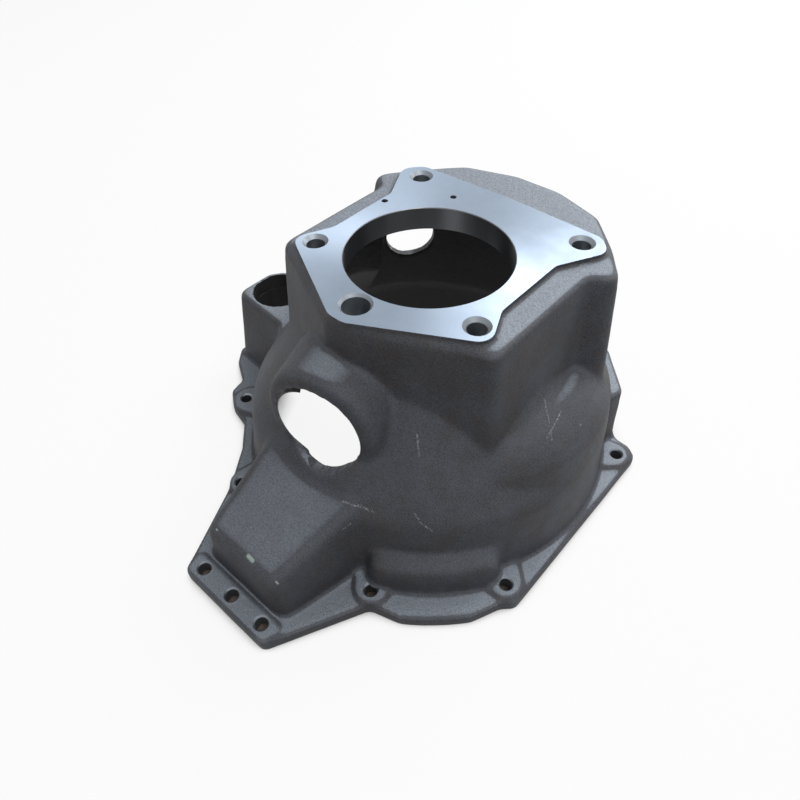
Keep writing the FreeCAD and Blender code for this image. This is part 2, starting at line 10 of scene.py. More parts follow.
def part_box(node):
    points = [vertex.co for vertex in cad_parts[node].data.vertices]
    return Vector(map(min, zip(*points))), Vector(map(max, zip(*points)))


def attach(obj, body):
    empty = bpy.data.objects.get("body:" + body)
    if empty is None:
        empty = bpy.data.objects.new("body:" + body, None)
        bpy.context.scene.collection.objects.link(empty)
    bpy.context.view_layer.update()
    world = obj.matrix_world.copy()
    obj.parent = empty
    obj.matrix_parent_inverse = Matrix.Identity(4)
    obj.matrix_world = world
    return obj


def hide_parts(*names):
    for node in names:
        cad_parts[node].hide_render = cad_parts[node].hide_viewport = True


bl_info = {
    "name": "Bellhousing Casting",
    "version": (1, 0, 0),
    "blender": (4, 5, 0),
    "location": "View3D > Sidebar > Bellhousing",
    "description": "Dresses a cast and machined bellhousing and sets up its stage",
    "category": "Object",
}

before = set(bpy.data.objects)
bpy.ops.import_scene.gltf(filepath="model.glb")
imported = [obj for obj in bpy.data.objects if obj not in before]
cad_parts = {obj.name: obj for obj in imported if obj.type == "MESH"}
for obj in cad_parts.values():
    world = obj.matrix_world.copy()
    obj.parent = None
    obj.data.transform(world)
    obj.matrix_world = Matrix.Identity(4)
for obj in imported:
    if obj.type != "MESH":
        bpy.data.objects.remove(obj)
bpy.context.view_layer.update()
NODE = "bellhousing"
MM = 0.001
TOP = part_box(NODE)[1][2]

# Drilled holes, in millimetres from the crank axis: x and y.
GEARBOX_BOLTS = ((70.5, 75.5), (-70.5, 75.5), (68.5, -38.4), (-68.5, -38.4))
DRAIN = ((0.0, -69.7),)
DOWEL_CIRCLE = 74.0
DOWEL_ANGLES = (115.8, 155.7)
FLANGE_BOLTS = (
    (70.0, -143.0),
    (137.5, -78.5),
    (138.5, 73.0),
    (72.0, 142.0),
    (-72.0, 142.0),
    (-138.5, 73.0),
    (-138.0, -82.0),
    (-70.0, -143.0),
)
SUMP_BOLTS = ((-31.0, -208.2), (0.0, -208.2), (31.0, -208.2))

# Cast openings, in millimetres: centre, compass turn and dip of the axis in degrees,
# radius, and how far the opening reaches each way from its centre.
OPENINGS = (
    ("fork_opening", (3.3, -115.0, 106.8), 282.0, 0.0, 31.2, 40.0),
    ("window", (-84.8, 79.1, 116.0), 137.0, 0.0, 19.7, 25.0),
    ("starter_hole", (-157.8, -12.3, 78.0), 0.0, 90.0, 22.0, 12.0),
)

# What a clean cut takes off the wall of a cast opening.
CLEAN_UP = 0.8 * MM

# How far a drill's countersink is carried on over the gearbox face, and over the ears and the
# sump pad, where a wall stands close by.
OVER_FACE = 3.0 * MM
OVER_EAR = 0.3 * MM

# The waist of the gearbox face: its length, its depth, and where its middle lies above the
# crank axis and below the face.
WAIST_BLOCK = (63.4 * MM, 12.0 * MM)
WAIST_MIDDLE = (11.7 * MM, 2.0 * MM)

# Half section of the clutch room inside the bell, in millimetres: radius and height.
CLUTCH_ROOM = ((0.0, -20.0), (138.0, -20.0), (129.8, 55.0), (109.8, 85.0), (0.0, 85.0))

# How far the rim of the fork opening and the hollow behind it lean down and sideways as they
# go in, for each unit of depth.
UPRIGHT = (0.0, 0.0)
SHOULDER_LEAN = (-0.8, 0.55)
HOLLOW_LEAN = (-1.5, 1.0)

# Where they start and end, as depths behind the middle of the fork opening, and the wall that
# stays round the room behind the rim.
SHOULDER_DEPTHS = (9.0 * MM, 24.0 * MM)
RIM_ROOM_DEPTHS = (7.5 * MM, 40.0 * MM)
HOLLOW_DEPTHS = (0.8 * MM, 42.0 * MM)
RIM_WALL = 5.0 * MM

# Places where the mould maker blended one form into the next, in millimetres: centre and reach.
BLENDS = (
    ((112.0, 8.0, 80.0), 78.0),
    ((104.0, -112.0, 34.0), 42.0),
    ((54.0, -118.0, 68.0), 30.0),
    ((-54.0, -118.0, 68.0), 30.0),
    ((34.0, -104.0, 128.0), 32.0),
    ((-40.0, -150.0, 57.0), 34.0),
    ((40.0, -150.0, 57.0), 34.0),
    ((124.0, -78.0, 33.0), 30.0),
    ((64.0, -128.0, 34.0), 26.0),
)

# The upper rim of the gearbox end is rolled over all the way round: heights from its face, and
# the share of a full blend that it gets.
ROLLED_RIM = (-16.0 * MM, -3.6 * MM)
ROLLED_SHARE = 0.35
BLEND_LEVELS = 10

# Sides of round plugs and tools, and the turn in radians from which an edge is shaded sharp.
PLUG_SIDES = 48
HOLE_SIDES = 64
TUBE_SIDES = 96
BORE_SIDES = 160
SHARP_TURN = 0.6

# Distances under which points of the CAD's mesh, and of a tool's, count as one, and under which
# an edge of a tool counts as nothing.
WELD_CAD = 2e-6
WELD_TOOL = 1e-6
NO_EDGE = 1e-7

# Widths and depths of the patterns in the finishes.
CLOUD_WIDTH = 45.0 * MM
STAIN_WIDTH = 18.0 * MM
PEBBLE_WIDTH = 3.2 * MM
PEBBLE_DEPTH = 0.9 * MM
GRAIN_DEPTH = 0.5 * MM
HAZE_WIDTH = 30.0 * MM
GROOVE_DEPTH = 0.04 * MM

# How dark the haze on cut metal is beside its own tint.
DULLED = 0.74

# A wave texture of scale one repeats at this distance, in metres.
WAVE_REPEAT = 0.314

# How far from the part its contact shade reaches on the floor.
SHADE_REACH = 30.0 * MM

# Lamps: name, place, width and power. They all look at the middle of the part.
LAMPS = (
    ("key light", (-0.05, 1.5, 1.45), 1.3, 34.0),
    ("high light", (0.8, -0.1, 1.9), 1.0, 16.0),
    ("front fill", (-0.6, -1.7, 1.2), 1.4, 1.0),
)
LAMP_AIM = (0.0, 0.0, 0.09)

# Strength of the world for rays that light the part; what the camera sees of it is white.
WORLD_LIGHT = 0.165

# The floor's half width, and how far it lies under the engine face.
FLOOR_REACH = 4.0
FLOOR_GAP = 0.3 * MM

# Knocks and scratches in the skin, in millimetres: start, end and width.
CHIPS = (
    ((6.9, -190.7, 48.0), (11.6, -191.0, 47.9), 1.9),
    ((33.5, -190.3, 45.4), (34.9, -190.0, 44.0), 0.9),
    ((-26.0, -191.7, 47.5), (-24.9, -191.7, 47.5), 0.9),
    ((90.2, -15.1, 175.3), (91.1, -15.3, 174.4), 0.8),
)
SCRATCHES = (
    ((34.5, -128.7, 69.0), (43.7, -125.1, 68.0), 0.8),
    ((43.9, -124.2, 68.4), (54.7, -120.5, 66.7), 1.0),
    ((45.0, -139.6, 57.7), (46.3, -133.3, 58.8), 1.0),
    ((77.7, -105.0, 69.2), (83.0, -105.3, 64.4), 0.7),
    ((83.0, -105.3, 64.4), (90.3, -102.7, 59.3), 0.7),
    ((58.7, -80.8, 112.2), (64.9, -86.1, 101.1), 0.7),
    ((113.5, 3.2, 102.8), (117.1, -18.0, 97.7), 0.7),
    ((126.0, 9.7, 94.2), (137.4, 16.0, 67.3), 0.7),
    ((102.1, -0.2, 109.3), (119.9, -15.8, 95.8), 0.6),
)


def linear(colour):
    """Hex sRGB colour as linear red, green, blue and alpha."""
    digits = colour.lstrip("#")
    values = []
    for start in (0, 2, 4):
        share = int(digits[start:start + 2], 16) / 255.0
        if share <= 0.04045:
            values.append(share / 12.92)
        else:
            values.append(((share + 0.055) / 1.055) ** 2.4)
    return (*values, 1.0)


def length(label, about, default, low=0.0):
    """Length property in metres, given in millimetres."""
    return bpy.props.FloatProperty(
        name=label,
        description=about,
        default=default * MM,
        min=low,
        unit="LENGTH",
        precision=4,
    )


def colour(label, about, default):
    """Colour property given as hex sRGB."""
    return bpy.props.FloatVectorProperty(
        name=label,
        description=about,
        default=linear(default),
        size=4,
        min=0.0,
        max=1.0,
        subtype="COLOR",
    )


class CastingSettings(bpy.types.PropertyGroup):
    """Sizes of the raw casting and of what is machined out of it."""

    stock: length("Machining stock", "Metal left on the faces that are milled", 4.0)
    grid: length("Surface grid", "Spacing of the points that the skin is shaped on", 1.6, 0.0005)
    softening: bpy.props.IntProperty(
        name="Softening",
        description="Rounds of smoothing that draft the creases into foundry fillets",
        default=10,
        min=0,
    )
    blending: bpy.props.IntProperty(
        name="Blending",
        description="Further rounds of smoothing where forms were blended by hand",
        default=36,
        min=0,
    )
    unevenness: length("Unevenness", "Depth of the long waves in the cast skin", 0.35)
    wave: length("Wave length", "Distance between those waves", 26.0, 0.001)
    triangles: bpy.props.IntProperty(
        name="Triangles",
        description="Triangles of the skin before it is machined",
        default=165000,
        min=1000,
    )
    bore_radius: length("Bore radius", "Radius of the bore for the gearbox", 57.15)
    waist: length("Face waist", "Half the width of the gearbox face beside the bore", 71.5)
    rim_radius: length("Rim radius", "Outer radius of the rim round the fork opening", 42.6)
    plate: length("Face plate", "Thickness of the plate round the bore", 17.5)
    bolt_radius: length("Gearbox bolt hole", "Radius of the four bolt holes", 6.4)
    bolt_mouth: length("Gearbox bolt mouth", "Radius of their countersunk mouths", 9.0)
    drain_radius: length("Drain hole", "Radius of the large hole below the bore", 9.2)
    drain_mouth: length("Drain mouth", "Radius of its countersunk mouth", 11.0)
    dowel_radius: length("Dowel hole", "Radius of the two small blind holes", 2.4)
    dowel_depth: length("Dowel depth", "Depth of the two small blind holes", 12.0)
    flange_radius: length("Flange hole", "Radius of the engine bolt holes", 4.5)
    flange_mouth: length("Flange mouth", "Radius of their countersunk mouths", 5.75)
    flange_height: length("Ear height", "Height of the bolt ears above the engine face", 12.0)
    sump_radius: length("Sump hole", "Radius of the three sump bolt holes", 4.75)
    sump_mouth: length("Sump mouth", "Radius of their countersunk mouths", 6.0)
    sump_height: length("Sump pad height", "Height of the sump pad", 11.0)


class FinishSettings(bpy.types.PropertyGroup):
    """Colours and grain of the finishes."""

    cast_dark: colour("Cast, dark", "Sides and hollows of the cast skin", "#3c3c40")
    cast_light: colour("Cast, light", "Paler clouds of the cast skin", "#494c53")
    cast_warm: colour("Cast, stained", "Brownish burnt sand left in the skin", "#403a38")
    # Scratches are wear; rounded edges take this colour partly as wear and partly as a painted
    # highlight.
    rubbed_and_highlit: colour("Rubbed metal", "Edges and marks rubbed bright", "#a3a8ae")
    milled: colour("Milled face", "Freshly milled gearbox face", "#a0aebf")
    bored: colour("Bored wall", "Wall of the bore, turned and slightly dull", "#74777b")
    drilled: colour("Drilled wall", "Walls and mouths of the bolt holes", "#888e95")
    # Painted top light: slopes and flat tops are painted towards this colour, the flat tops partly
    # also as wear from handling.
    handled_and_top_lit: colour("Handled skin", "Upward skin that is blasted and handled paler", "#9199a3")
    chipped: colour("Chipped spot", "Pale bottom of a knock in the skin", "#b4c2bd")
    # Painted shade inside the bell, with some dark burnt sand.
    inside_shade_and_sand: colour("Inner skin", "Skin inside, dark with burnt sand", "#12100f")
    grain: length("Sand grain", "Width of the sand grains in the skin", 0.9, 0.0001)


class StageSettings(bpy.types.PropertyGroup):
    """Camera, floor and light."""

    camera_place: bpy.props.FloatVectorProperty(
        name="Camera place",
        description="Where the camera stands",
        default=(0.2319, -0.28434, 0.42967),
        size=3,
        subtype="TRANSLATION",
        unit="LENGTH",
    )
    camera_aim: bpy.props.FloatVectorProperty(
        name="Camera aim",
        description="Point in the middle of the picture",
        default=(-0.002725, -0.029078, 0.060),
        size=3,
        subtype="TRANSLATION",
        unit="LENGTH",
    )
    camera_roll: bpy.props.FloatProperty(
        name="Camera roll",
        description="Turn of the camera about its line of sight",
        default=math.radians(1.486),
        subtype="ANGLE",
    )
    lens: bpy.props.FloatProperty(
        name="Lens",
        description="Focal length in millimetres on a 36 mm sensor",
        default=29.475,
        min=1.0,
    )
    floor_colour: colour("Floor", "Pale floor under the part", "#e9e9ea")
    shade_colour: colour("Contact shade", "Floor where the part stands on it", "#5a4f45")


def linked(piece):
    """Put a piece into the scene."""
    bpy.context.scene.collection.objects.link(piece)
    return piece


def piece_from(bm, name):
    """Object whose mesh is what a bmesh holds."""
    mesh = bpy.data.meshes.new(name)
    bm.to_mesh(mesh)
    bm.free()
    return linked(bpy.data.objects.new(name, mesh))


def baked(piece):
    """Replace a piece's mesh by what its modifiers make of it."""
    graph = bpy.context.evaluated_depsgraph_get()
    mesh = bpy.data.meshes.new_from_object(piece.evaluated_get(graph), depsgraph=graph)
    old = piece.data
    piece.modifiers.clear()
    piece.data = mesh
    mesh.name = piece.name
    bpy.data.meshes.remove(old)
    return piece


def with_node(tree, kind, inputs=None, **settings):
    """Add a node with its settings; inputs give each socket a value or another node's socket."""
    node = tree.nodes.new(kind)
    for key, value in settings.items():
        setattr(node, key, value)
    for socket, value in (inputs or {}).items():
        if isinstance(value, bpy.types.NodeSocket):
            tree.links.new(value, node.inputs[socket])
        else:
            node.inputs[socket].default_value = value
    return node


def turned(bm, profile, centre, steps=HOLE_SIDES):
    """Spin a closed profile of (radius, height) points about an upright axis."""
    verts = [bm.verts.new((centre[0] + radius, centre[1], height)) for radius, height in profile]
    edges = [bm.edges.new(pair) for pair in zip(verts, verts[1:])]
    bmesh.ops.spin(
        bm,
        geom=verts + edges,
        cent=(centre[0], centre[1], 0.0),
        axis=(0.0, 0.0, 1.0),
        angle=math.tau,
        steps=steps,
        use_merge=True,
        use_normal_flip=False,
        use_duplicate=False,
    )


def closed(bm):
    """Merge doubles and turn every face outwards."""
    bmesh.ops.remove_doubles(bm, verts=bm.verts, dist=WELD_TOOL)
    bmesh.ops.dissolve_degenerate(bm, dist=NO_EDGE, edges=bm.edges)
    bmesh.ops.recalc_face_normals(bm, faces=bm.faces)


def drill_profile(radius, mouth, top, foot, over=OVER_FACE):
    """Profile of a drill with a countersink that meets the surface at its mouth radius."""
    sink = mouth - radius
    return (
        (0.0, foot),
        (radius, foot),
        (radius, top - sink),
        (mouth + over, top + over),
        (0.0, top + over),
    )


def slab(bm, low, high, width=0.5):
    """Plain block that is wider than the part, between two heights."""
    middle = (low + high) / 2
    size = Matrix.Diagonal((width, width, high - low, 1.0))
    bmesh.ops.create_cube(bm, size=1.0, matrix=Matrix.Translation((0.0, 0.0, middle)) @ size)


def millimetres(points):
    """Pairs given in millimetres, in metres."""
    return [(x * MM, y * MM) for x, y in points]


def dowel_places():
    """The two small holes on their circle round the bore."""
    places = []
    for angle in DOWEL_ANGLES:
        turn = math.radians(angle)
        places.append((DOWEL_CIRCLE * math.cos(turn), DOWEL_CIRCLE * math.sin(turn)))
    return places


def opening_lie(opening, slide):
    """Matrix that lays an upright cylinder along an opening; slide leans it as it goes in."""
    centre, turn, dip = opening[1:4]
    lie = Matrix.Rotation(math.radians(turn), 4, "Z") @ Matrix.Rotation(
        math.radians(90.0 - dip), 4, "Y"
    )
    return Matrix.Translation(Vector(centre) * MM) @ lie @ Matrix.Shear("XY", 4, slide)


def tube(bm, opening, radius, depths, slide):
    """Leaning cylinder that runs into the part along an opening, between two depths."""
    start, end = depths
    level = Matrix.Translation((0.0, 0.0, -(start + end) / 2))
    bmesh.ops.create_cone(
        bm,
        cap_ends=True,
        segments=TUBE_SIDES,
        radius1=radius,
        radius2=radius,
        depth=end - start,
        matrix=opening_lie(opening, slide) @ level,
    )


def rough_casting(sizes):
    """The part as it leaves the mould: holes filled, and stock on the faces to be milled."""
    bm = bmesh.new()
    bm.from_mesh(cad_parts[NODE].data)
    bmesh.ops.remove_doubles(bm, verts=bm.verts, dist=WELD_CAD)
    flatness = 1e-5
    for level, way in ((TOP, 1.0), (0.0, -1.0)):
        flat = [
            face
            for face in bm.faces
            if all(abs(vert.co.z - level) < flatness for vert in face.verts)
        ]
        raised = bmesh.ops.extrude_face_region(bm, geom=flat)
        moved = [item for item in raised["geom"] if isinstance(item, bmesh.types.BMVert)]
        bmesh.ops.translate(bm, verts=moved, vec=(0.0, 0.0, way * sizes.stock))
    plate_foot = TOP - sizes.plate
    fills = [(GEARBOX_BOLTS, sizes.bolt_mouth, plate_foot, TOP)]
    fills.append((DRAIN, sizes.drain_mouth, plate_foot, TOP))
    fills.append((dowel_places(), sizes.dowel_radius, TOP - sizes.dowel_depth - MM, TOP))
    fills.append((((0.0, 0.0),), sizes.bore_radius, plate_foot, TOP))
    fills.append((FLANGE_BOLTS, sizes.flange_mouth, 0.0, sizes.flange_height))
    fills.append((SUMP_BOLTS, sizes.sump_mouth, 0.0, sizes.sump_height))
    # The waist of the gearbox face, and the shoulder that carries the rim of the fork opening.
    waist = Matrix.Diagonal((2 * sizes.waist, *WAIST_BLOCK, 1.0))
    middle = Matrix.Translation((0.0, WAIST_MIDDLE[0], TOP - WAIST_MIDDLE[1]))
    bmesh.ops.create_cube(bm, size=1.0, matrix=middle @ waist)
    tube(bm, OPENINGS[0], sizes.rim_radius, SHOULDER_DEPTHS, SHOULDER_LEAN)
    spare = 0.3 * MM
    for places, radius, foot, top in fills:
        low = foot - sizes.stock if foot == 0.0 else foot
        high = top + sizes.stock if top == TOP else top
        for x, y in millimetres(places):
            bmesh.ops.create_cone(
                bm,
                cap_ends=True,
                segments=PLUG_SIDES,
                radius1=radius + spare,
                radius2=radius + spare,
                depth=high - low,
                matrix=Matrix.Translation((x, y, (low + high) / 2)),
            )
    return piece_from(bm, "bellhousing_casting")


def blend_group(piece):
    """Vertex group that is full in the middle of each blend and fades to its reach."""
    group = piece.vertex_groups.new(name="blend")
    shares = {}
    for vert in piece.data.vertices:
        best = 0.0
        for centre, reach in BLENDS:
            away = (vert.co - Vector(centre) * MM).length / (reach * MM)
            best = max(best, 1.0 - away)
        if ROLLED_RIM[0] < vert.co.z - TOP < ROLLED_RIM[1]:
            best = max(best, ROLLED_SHARE)
        if best > 0.0:
            # A blend is full over the inner half of its reach.
            level = min(BLEND_LEVELS, math.ceil(best * 2.0 * BLEND_LEVELS))
            shares.setdefault(level, []).append(vert.index)
    for level, indices in shares.items():
        group.add(indices, level / BLEND_LEVELS, "REPLACE")
    return group


def skinned(piece, sizes):
    """Give the rough casting one even skin with soft creases and slow waves."""
    remesh = piece.modifiers.new("skin", "REMESH")
    remesh.mode = "VOXEL"
    remesh.voxel_size = sizes.grid
    baked(piece)
    smooth = piece.modifiers.new("fillets", "SMOOTH")
    smooth.factor = 0.5
    smooth.iterations = sizes.softening
    group = blend_group(piece)
    blend = piece.modifiers.new("blends", "SMOOTH")
    blend.factor = 0.5
    blend.iterations = sizes.blending
    blend.vertex_group = group.name
    waves = bpy.data.textures.new("casting waves", "CLOUDS")
    waves.noise_scale = sizes.wave
    waves.noise_depth = 1
    rough = piece.modifiers.new("waves", "DISPLACE")
    rough.texture = waves
    rough.texture_coords = "LOCAL"
    rough.strength = sizes.unevenness
    rough.mid_level = 0.9
    baked(piece)
    piece.vertex_groups.clear()
    piece.data.calc_loop_triangles()
    thin = piece.modifiers.new("thin", "DECIMATE")
    thin.ratio = min(1.0, sizes.triangles / len(piece.data.loop_triangles))
    return baked(piece)


def cutter(name, finish, build):
    """Closed tool body that carries the finish it leaves behind."""
    bm = bmesh.new()
    build(bm)
    closed(bm)
    tool = piece_from(bm, name)
    tool.data.materials.append(finish)
    return tool


def machined(piece, sizes, finishes):
    """Open the cast openings, mill the two faces, and bore and drill the holes.

    Each cut leaves its own finish on the surface that it makes.
    """
    plate_foot = TOP - sizes.plate
    fork = OPENINGS[0]
    far = 30.0 * MM

    def mill_top(bm):
        slab(bm, TOP, TOP + far)

    def mill_foot(bm):
        slab(bm, -far, 0.0)

    def bore(bm):
        lip = 0.5 * MM
        foot = plate_foot - 6.0 * MM
        profile = drill_profile(sizes.bore_radius, sizes.bore_radius + lip, TOP, foot)
        turned(bm, profile, (0.0, 0.0), BORE_SIDES)

    def drill(bm):
        deep = plate_foot - 4.0 * MM
        blind = TOP - sizes.dowel_depth
        under = -far / 2
        rows = [
            (GEARBOX_BOLTS, sizes.bolt_radius, sizes.bolt_mouth, TOP, deep),
            (DRAIN, sizes.drain_radius, sizes.drain_mouth, TOP, deep),
            (dowel_places(), sizes.dowel_radius, sizes.dowel_radius, TOP, blind),
            (FLANGE_BOLTS, sizes.flange_radius, sizes.flange_mouth, sizes.flange_height, under),
            (SUMP_BOLTS, sizes.sump_radius, sizes.sump_mouth, sizes.sump_height, under),
        ]
        for places, radius, mouth, top, foot in rows:
            over = OVER_FACE if top == TOP else OVER_EAR
            for place in millimetres(places):
                turned(bm, drill_profile(radius, mouth, top, foot, over), place)

    def openings(bm):
        for opening in OPENINGS:
            radius, reach = (value * MM for value in opening[4:])
            tube(bm, opening, radius + CLEAN_UP, (-reach, reach), UPRIGHT)

    def hollow(bm):
        tube(bm, fork, fork[4] * MM + 2 * CLEAN_UP, HOLLOW_DEPTHS, HOLLOW_LEAN)

    def rim_room(bm):
        tube(bm, fork, sizes.rim_radius - RIM_WALL, RIM_ROOM_DEPTHS, UPRIGHT)

    def clutch_room(bm):
        turned(bm, millimetres(CLUTCH_ROOM), (0.0, 0.0), BORE_SIDES)

    cuts = (
        ("openings", finishes["raw"], openings),
        ("rim_room", finishes["raw"], rim_room),
        ("hollow", finishes["raw"], hollow),
        ("clutch_room", finishes["raw"], clutch_room),
        ("mill_top", finishes["milled"], mill_top),
        ("mill_foot", finishes["milled"], mill_foot),
        ("bore", finishes["bored"], bore),
        ("drills", finishes["drilled"], drill),
    )
    for name, finish, build in cuts:
        tool = cutter(name, finish, build)
        cut = piece.modifiers.new(name, "BOOLEAN")
        cut.operation = "DIFFERENCE"
        cut.solver = "MANIFOLD"
        cut.material_mode = "TRANSFER"
        cut.object = tool
        baked(piece)
        bpy.data.objects.remove(tool, do_unlink=True)
    return piece


def shaded(piece, limit=SHARP_TURN):
    """Smooth shading, with sharp edges where a cut was made or the surface turns hard."""
    bm = bmesh.new()
    bm.from_mesh(piece.data)
    for face in bm.faces:
        face.smooth = True
    for edge in bm.edges:
        kinds = {face.material_index for face in edge.link_faces}
        turn = edge.calc_face_angle(math.pi)
        edge.smooth = len(kinds) == 1 and turn < limit
    bm.to_mesh(piece.data)
    bm.free()
    return piece


def principled(name):
    """New material with its own shader; returns the material, its tree and the shader."""
    material = bpy.data.materials.new(name)
    material.use_nodes = True
    tree = material.node_tree
    return material, tree, tree.nodes["Principled BSDF"]


def near_lines(tree, place, lines, most):
    """Socket that rises to its most on lines given by start, end and width in millimetres."""
    nearest = None
    for start, end, width in lines:
        foot = Vector(start) * MM
        run = Vector(end) * MM - foot
        offset = with_node(
            tree, "ShaderNodeVectorMath", {0: place, 1: tuple(foot)}, operation="SUBTRACT"
        )
        along = with_node(
            tree,
            "ShaderNodeVectorMath",
            {0: offset.outputs[0], 1: tuple(run / run.length_squared)},
            operation="DOT_PRODUCT",
        )
        held = with_node(tree, "ShaderNodeMapRange", {"Value": along.outputs["Value"]})
        spot = with_node(
            tree,
            "ShaderNodeVectorMath",
            {0: tuple(run), 1: held.outputs[0], 2: tuple(foot)},
            operation="MULTIPLY_ADD",
        )
        away = with_node(
            tree,
            "ShaderNodeVectorMath",
            {0: place, 1: spot.outputs[0]},
            operation="DISTANCE",
        )
        share = with_node(
            tree,
            "ShaderNodeMapRange",
            {
                "Value": away.outputs["Value"],
                "From Min": width * MM,
                "From Max": 0.4 * width * MM,
                "To Max": most,
            },
        ).outputs[0]
        if nearest is not None:
            share = with_node(
                tree, "ShaderNodeMath", {0: nearest, 1: share}, operation="MAXIMUM"
            ).outputs[0]
        nearest = share
    return nearest


def cast_skin(name, finish, top_light_share):
    """Sand-cast aluminium, left raw, with painted light and shade.

    The sand gives the eye a dull blue-grey skin of fine pebbles, brownish where burnt sand
    stayed in it and paler where scratches of handling wore it. Slopes and flat tops are painted
    paler as top light, the flat tops partly also as wear from handling; rounded edges are made
    bright partly by wear and partly as a painted highlight; and the inside is painted near black
    as shade, with some burnt sand.
    """
    material, tree, shader = principled(name)
    place = with_node(tree, "ShaderNodeTexCoord").outputs["Object"]
    facing = with_node(tree, "ShaderNodeNewGeometry")
    # Clouds of lighter and darker skin.
    clouds = with_node(
        tree,
        "ShaderNodeTexNoise",
        {"Vector": place, "Scale": 1 / CLOUD_WIDTH, "Detail": 5.0, "Roughness": 0.62},
    )
    cloud_share = with_node(
        tree,
        "ShaderNodeMapRange",
        {"Value": clouds.outputs["Fac"], "From Min": 0.36, "From Max": 0.68},
    )
    base = with_node(
        tree,
        "ShaderNodeMix",
        {0: cloud_share.outputs[0], 6: tuple(finish.cast_dark), 7: tuple(finish.cast_light)},
        data_type="RGBA",
    )
    # Brownish stains of burnt sand.
    stains = with_node(
        tree,
        "ShaderNodeTexNoise",
        {
            "Vector": place,
            "Scale": 1 / STAIN_WIDTH,
            "Detail": 6.0,
            "Roughness": 0.7,
            "Distortion": 0.4,
        },
    )
    stain_share = with_node(
        tree,
        "ShaderNodeMapRange",
        {"Value": stains.outputs["Fac"], "From Min": 0.46, "From Max": 0.72, "To Max": 0.8},
    )
    stained = with_node(
        tree,
        "ShaderNodeMix",
        {0: stain_share.outputs[0], 6: base.outputs[2], 7: tuple(finish.cast_warm)},
        data_type="RGBA",
    )
    # Painted top light: slopes are painted a little paler than the walls, and flat tops paler
    # still, partly also as wear from handling.
    upward = with_node(tree, "ShaderNodeSeparateXYZ", {0: facing.outputs["Normal"]})
    slopes = with_node(
        tree,
        "ShaderNodeMapRange",
        {
            "Value": upward.outputs["Z"],
            "From Min": 0.3,
            "From Max": 0.7,
            "To Max": 0.11 * top_light_share,
        },
    )
    flats = with_node(
        tree,
        "ShaderNodeMapRange",
        {
            "Value": upward.outputs["Z"],
            "From Min": 0.88,
            "From Max": 1.0,
            "To Max": 0.72 * top_light_share,
        },
        interpolation_type="SMOOTHSTEP",
    )
    paler = with_node(
        tree, "ShaderNodeMath", {0: slopes.outputs[0], 1: flats.outputs[0]}, operation="MAXIMUM"
    )
    # Sand grains, drawn at about twice their real width so that they show.
    grains = with_node(
        tree,
        "ShaderNodeTexNoise",
        {"Vector": place, "Scale": 1 / finish.grain, "Detail": 3.0, "Roughness": 0.65},
    )
    grain_share = with_node(
        tree,
        "ShaderNodeMapRange",
        {
            "Value": grains.outputs["Fac"],
            "From Min": 0.32,
            "From Max": 0.68,
            "To Min": 0.55,
            "To Max": 1.45,
        },
    )
    speckled = with_node(
        tree,
        "ShaderNodeVectorMath",
        {0: stained.outputs[2], "Scale": grain_share.outputs[0]},
        operation="SCALE",
    )
    # The painted top light and the wear from handling fall on the tops of the pebbles more than
    # on the pits between them.
    top_light_on_grain = with_node(
        tree,
        "ShaderNodeMath",
        {0: paler.outputs[0], 1: grain_share.outputs[0]},
        operation="MULTIPLY",
    )
    handled_and_top_lit = with_node(
        tree,
        "ShaderNodeMix",
        {0: top_light_on_grain.outputs[0], 6: speckled.outputs[0], 7: tuple(finish.handled_and_top_lit)},
        data_type="RGBA",
    )
    # Rounded edges are made bright in patches: partly wear from rubbing, partly a painted
    # highlight.
    edges = with_node(
        tree,
        "ShaderNodeMapRange",
        {"Value": facing.outputs["Pointiness"], "From Min": 0.51, "From Max": 0.57, "To Max": 0.4},
        interpolation_type="SMOOTHSTEP",
    )
    # Scratches are broken up by the grain, and only the tops of the pebbles are scored.
    tops = with_node(
        tree,
        "ShaderNodeMapRange",
        {"Value": grains.outputs["Fac"], "From Min": 0.46, "From Max": 0.56},
    )
    scored = with_node(
        tree,
        "ShaderNodeMath",
        {0: near_lines(tree, place, SCRATCHES, 0.75), 1: tops.outputs[0]},
        operation="MULTIPLY",
    )
    bright = with_node(
        tree,
        "ShaderNodeMath",
        {0: edges.outputs[0], 1: scored.outputs[0]},
        operation="MAXIMUM",
    )
    # Edges take a painted highlight, partly wear, and scratches take wear, both in one pale
    # colour.
    worn_and_highlit = with_node(
        tree,
        "ShaderNodeMix",
        {0: bright.outputs[0], 6: handled_and_top_lit.outputs[2], 7: tuple(finish.rubbed_and_highlit)},
        data_type="RGBA",
    )
    chipped = with_node(
        tree,
        "ShaderNodeMix",
        {
            0: near_lines(tree, place, CHIPS, 0.8),
            6: worn_and_highlit.outputs[2],
            7: tuple(finish.chipped),
        },
        data_type="RGBA",
    )
